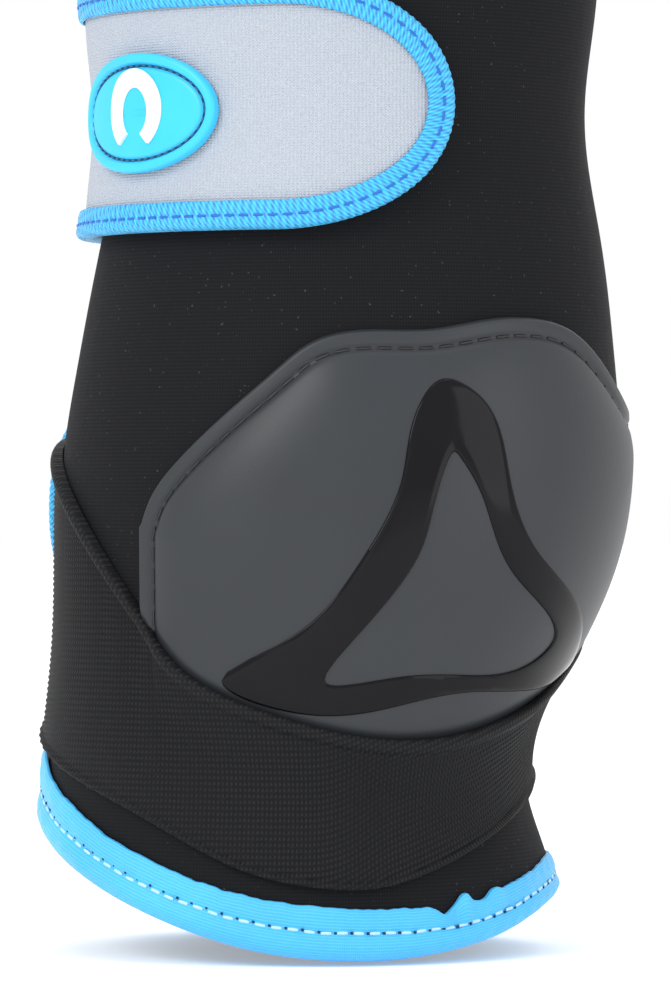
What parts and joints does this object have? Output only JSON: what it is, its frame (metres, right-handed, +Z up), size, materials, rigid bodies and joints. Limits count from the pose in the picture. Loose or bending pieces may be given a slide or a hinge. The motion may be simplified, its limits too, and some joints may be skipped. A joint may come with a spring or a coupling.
{
  "type": "tendon boot",
  "caption": "Padded horse leg boot: a neoprene sleeve with a moulded strike pad, rounded hook and loop straps round the cannon and an elastic sling under the fetlock.",
  "frame": {"origin": "centre of the fetlock joint inside the sleeve", "axes": "+Z up the leg, +X to the back of the leg, -Y to the side with the strike pad"},
  "size_m": [0.1079, 0.0954, 0.2876],
  "materials": {
    "neoprene": "matte knit face on neoprene",
    "lining": "soft loop lining",
    "hem_binding": "satin stretch tape",
    "strap_fabric": "fine matte knit",
    "strap_binding": "braided tape",
    "hook": "hook tape",
    "elastic": "ribbed woven elastic",
    "strike_pad": "satin moulded",
    "gloss_frame": "gloss moulded",
    "badge": "satin moulded rubber",
    "emblem": "satin moulded rubber"
  },
  "bodies": {
    "sleeve": {"near_panel": "neoprene", "near_lining": "lining", "hem_binding_near": "hem_binding", "top_binding_near": "hem_binding", "front_binding_near": "hem_binding", "strike_pad": "strike_pad", "strike_pad_frame": "gloss_frame", "sling_near": "elastic"},
    "far_flap": {"far_panel": "neoprene", "far_lining": "lining", "hem_binding_far": "hem_binding", "top_binding_far": "hem_binding", "front_binding_far": "hem_binding", "sling_far": "elastic", "lower_strap_root": "strap_fabric", "middle_strap_root": "strap_fabric", "upper_strap_root": "strap_fabric", "lower_strap_root_binding": "strap_binding", "middle_strap_root_binding": "strap_binding", "upper_strap_root_binding": "strap_binding"},
    "lower_strap": {"lower_strap": "strap_fabric", "lower_strap_binding": "strap_binding", "badge": "badge", "badge_emblem": "emblem"},
    "lower_strap_tab": {"lower_strap_tab": "strap_fabric", "lower_strap_tab_binding": "strap_binding", "lower_strap_hook_patch": "hook"},
    "middle_strap": {"middle_strap": "strap_fabric", "middle_strap_binding": "strap_binding"},
    "middle_strap_tab": {"middle_strap_tab": "strap_fabric", "middle_strap_tab_binding": "strap_binding", "middle_strap_hook_patch": "hook"},
    "upper_strap": {"upper_strap": "strap_fabric", "upper_strap_binding": "strap_binding"},
    "upper_strap_tab": {"upper_strap_tab": "strap_fabric", "upper_strap_tab_binding": "strap_binding", "upper_strap_hook_patch": "hook"},
    "sling_tab": {"sling_tab": "strap_fabric", "sling_tab_binding": "strap_binding", "sling_tab_hook_patch": "hook"}
  },
  "joints": [
    {"name": "wrap_open", "type": "hinge", "parent": "sleeve", "child": "far_flap", "pos_m": [0.0455, 0.023, 0.05], "axis": [0, 0, -1], "range_deg": [0, 55]},
    {"name": "lower_strap_open", "type": "hinge", "parent": "far_flap", "child": "lower_strap", "pos_m": [-0.0428, 0.02169, 0.0673], "axis": [0, 0, -1], "range_deg": [0, 122]},
    {"name": "lower_strap_peel", "type": "hinge", "parent": "lower_strap", "child": "lower_strap_tab", "pos_m": [-0.01701, -0.04125, 0.0673], "axis": [0, 0, -1], "range_deg": [0, 110]},
    {"name": "middle_strap_open", "type": "hinge", "parent": "far_flap", "child": "middle_strap", "pos_m": [-0.04357, 0.0221, 0.1173], "axis": [0, 0, -1], "range_deg": [0, 122]},
    {"name": "middle_strap_peel", "type": "hinge", "parent": "middle_strap", "child": "middle_strap_tab", "pos_m": [-0.01722, -0.04182, 0.1173], "axis": [0, 0, -1], "range_deg": [0, 110]},
    {"name": "upper_strap_open", "type": "hinge", "parent": "far_flap", "child": "upper_strap", "pos_m": [-0.0452, 0.02297, 0.1673], "axis": [0, 0, -1], "range_deg": [0, 122]},
    {"name": "upper_strap_peel", "type": "hinge", "parent": "upper_strap", "child": "upper_strap_tab", "pos_m": [-0.01777, -0.04332, 0.1673], "axis": [0, 0, -1], "range_deg": [0, 110]},
    {"name": "sling_peel", "type": "hinge", "parent": "far_flap", "child": "sling_tab", "pos_m": [0.01609, 0.04478, -0.032], "axis": [0, 0, -1], "range_deg": [0, 100]}
  ],
  "couplings": [
    {"joint": "lower_strap_open", "follows": "wrap_open", "ratio": 2.2},
    {"joint": "middle_strap_open", "follows": "wrap_open", "ratio": 2.2},
    {"joint": "upper_strap_open", "follows": "wrap_open", "ratio": 2.2}
  ]
}
